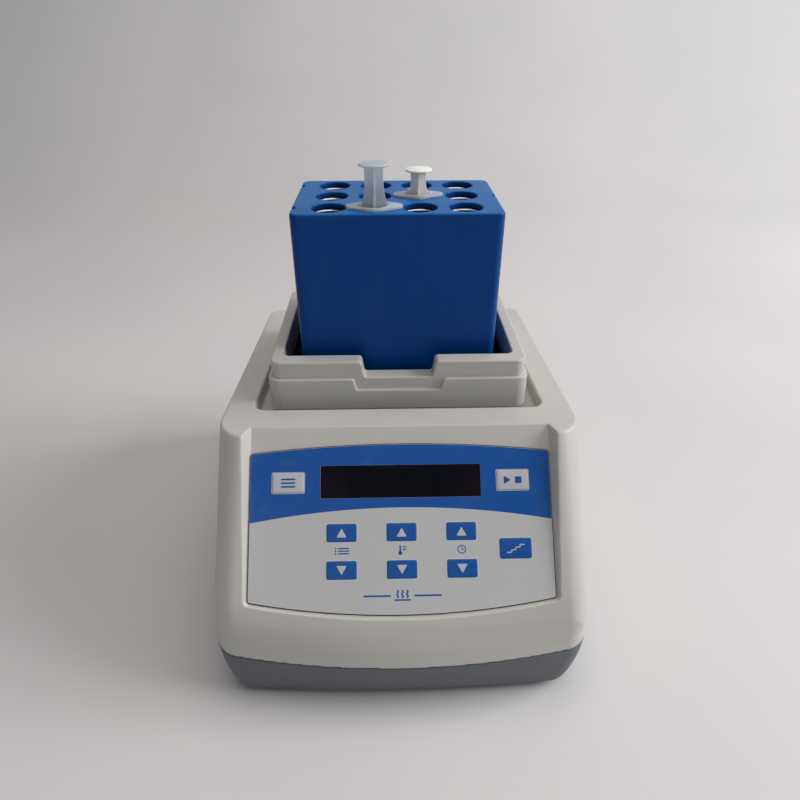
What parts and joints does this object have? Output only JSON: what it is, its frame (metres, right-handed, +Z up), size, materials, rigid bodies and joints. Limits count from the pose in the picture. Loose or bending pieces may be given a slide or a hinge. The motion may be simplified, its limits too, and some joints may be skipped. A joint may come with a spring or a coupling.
{
  "type": "dry block heater",
  "caption": "Bench dry block heater with a sloping key panel and a tall blue covered block that holds syringes upright in a heated well.",
  "frame": {"origin": "middle of the overall footprint, on the surface that the feet stand on", "axes": "+X to the right seen from the front, +Y to the rear, +Z up"},
  "size_m": [0.1966, 0.267, 0.2478],
  "materials": {
    "casing_plastic": "fine moulded texture, satin",
    "base_plastic": "fine moulded texture, satin",
    "cover_blue": "smooth, semi-gloss",
    "well_finish": "dark semi-gloss paint",
    "aluminium": "machined",
    "steel": "plated",
    "brass": "bare",
    "heater_silicone": "woven silicone",
    "foot_rubber": "matt",
    "black_plastic": "fine texture",
    "circuit_board": "solder mask",
    "overlay_film": "fine matt film with a blue upper band",
    "key_white": "satin film",
    "key_blue": "satin film",
    "display_lens": "smooth dark window",
    "fuse_glass": "clear",
    "winding_tape": "polyester tape",
    "clear_plastic": "milky translucent polypropylene",
    "ivory_plastic": "smooth moulded"
  },
  "bodies": {
    "casing": {"upper_housing": "casing_plastic", "base_tray": "base_plastic", "block_collar": "casing_plastic", "well_liner": "well_finish", "heating_plate": "aluminium", "heater_mat": "heater_silicone", "thermal_cutout": "steel", "temperature_probe": "steel", "panel_overlay": "overlay_film", "display_window": "display_lens", "display_module": "black_plastic", "control_board": "circuit_board", "mains_inlet": "black_plastic", "power_switch_frame": "black_plastic", "fan_frame": "black_plastic", "power_board": "circuit_board", "triac_heat_sink": "aluminium", "transformer": "winding_tape", "transformer_clamp": "steel", "foot_1": "foot_rubber", "housing_screw_1": "steel", "plate_post_1": "steel", "foot_2": "foot_rubber", "housing_screw_2": "steel", "plate_post_2": "steel", "foot_3": "foot_rubber", "housing_screw_3": "steel", "plate_post_3": "steel", "foot_4": "foot_rubber", "housing_screw_4": "steel", "plate_post_4": "steel", "inlet_pin_1": "brass", "inlet_pin_2": "brass", "inlet_pin_3": "brass"},
    "aluminium_block": {"aluminium_block": "aluminium"},
    "block_cover": {"block_cover": "cover_blue"},
    "large_syringe": {"large_syringe_barrel": "clear_plastic", "large_syringe_cap": "ivory_plastic"},
    "large_plunger": {"large_syringe_plunger": "clear_plastic", "large_syringe_piston": "foot_rubber"},
    "small_syringe": {"small_syringe_barrel": "clear_plastic", "small_syringe_cap": "ivory_plastic"},
    "small_plunger": {"small_syringe_plunger": "ivory_plastic", "small_syringe_piston": "foot_rubber"},
    "fuse_drawer": {"fuse_drawer": "black_plastic", "fuse": "fuse_glass"},
    "power_rocker": {"power_rocker": "black_plastic"},
    "fan_rotor": {"fan_rotor": "black_plastic"},
    "key_option": {"key_option": "key_white"},
    "key_start_stop": {"key_start_stop": "key_white"},
    "key_multi_step": {"key_multi_step": "key_blue"},
    "key_program_up": {"key_program_up": "key_blue"},
    "key_program_down": {"key_program_down": "key_blue"},
    "key_temperature_up": {"key_temperature_up": "key_blue"},
    "key_temperature_down": {"key_temperature_down": "key_blue"},
    "key_time_up": {"key_time_up": "key_blue"},
    "key_time_down": {"key_time_down": "key_blue"}
  },
  "joints": [
    {"name": "press_option", "type": "slide", "parent": "casing", "child": "key_option", "axis": [0, 0.7443, -0.6678], "range_m": [0, 0.0005], "stiffness_N_per_m": 600},
    {"name": "press_start_stop", "type": "slide", "parent": "casing", "child": "key_start_stop", "axis": [0, 0.7443, -0.6678], "range_m": [0, 0.0005], "stiffness_N_per_m": 600},
    {"name": "press_multi_step", "type": "slide", "parent": "casing", "child": "key_multi_step", "axis": [0, 0.7443, -0.6678], "range_m": [0, 0.0005], "stiffness_N_per_m": 600},
    {"name": "press_program_up", "type": "slide", "parent": "casing", "child": "key_program_up", "axis": [0, 0.7443, -0.6678], "range_m": [0, 0.0005], "stiffness_N_per_m": 600},
    {"name": "press_program_down", "type": "slide", "parent": "casing", "child": "key_program_down", "axis": [0, 0.7443, -0.6678], "range_m": [0, 0.0005], "stiffness_N_per_m": 600},
    {"name": "press_temperature_up", "type": "slide", "parent": "casing", "child": "key_temperature_up", "axis": [0, 0.7443, -0.6678], "range_m": [0, 0.0005], "stiffness_N_per_m": 600},
    {"name": "press_temperature_down", "type": "slide", "parent": "casing", "child": "key_temperature_down", "axis": [0, 0.7443, -0.6678], "range_m": [0, 0.0005], "stiffness_N_per_m": 600},
    {"name": "press_time_up", "type": "slide", "parent": "casing", "child": "key_time_up", "axis": [0, 0.7443, -0.6678], "range_m": [0, 0.0005], "stiffness_N_per_m": 600},
    {"name": "press_time_down", "type": "slide", "parent": "casing", "child": "key_time_down", "axis": [0, 0.7443, -0.6678], "range_m": [0, 0.0005], "stiffness_N_per_m": 600},
    {"name": "block_lift", "type": "slide", "parent": "casing", "child": "aluminium_block", "axis": [0, 0, 1], "range_m": [0, 0.1]},
    {"name": "cover_lift", "type": "slide", "parent": "aluminium_block", "child": "block_cover", "axis": [0, 0, 1], "range_m": [0, 0.12]},
    {"name": "large_syringe_lift", "type": "slide", "parent": "block_cover", "child": "large_syringe", "axis": [0, 0, 1], "range_m": [0, 0.1]},
    {"name": "large_plunger_slide", "type": "slide", "parent": "large_syringe", "child": "large_plunger", "axis": [0, 0, 1], "range_m": [-0.017, 0.041]},
    {"name": "small_syringe_lift", "type": "slide", "parent": "block_cover", "child": "small_syringe", "axis": [0, 0, 1], "range_m": [0, 0.085]},
    {"name": "small_plunger_slide", "type": "slide", "parent": "small_syringe", "child": "small_plunger", "axis": [0, 0, 1], "range_m": [-0.01, 0.039]},
    {"name": "fuse_drawer_slide", "type": "slide", "parent": "casing", "child": "fuse_drawer", "axis": [0, 1, 0], "range_m": [0, 0.022]},
    {"name": "power_rocker_tilt", "type": "hinge", "parent": "casing", "child": "power_rocker", "pos_m": [-0.022, 0.12682, 0.066], "axis": [1, 0, 0], "range_deg": [0, 18]},
    {"name": "fan_spin", "type": "hinge", "parent": "casing", "child": "fan_rotor", "pos_m": [0.042, 0.11682, 0.07], "axis": [0, 1, 0], "continuous": true}
  ]
}
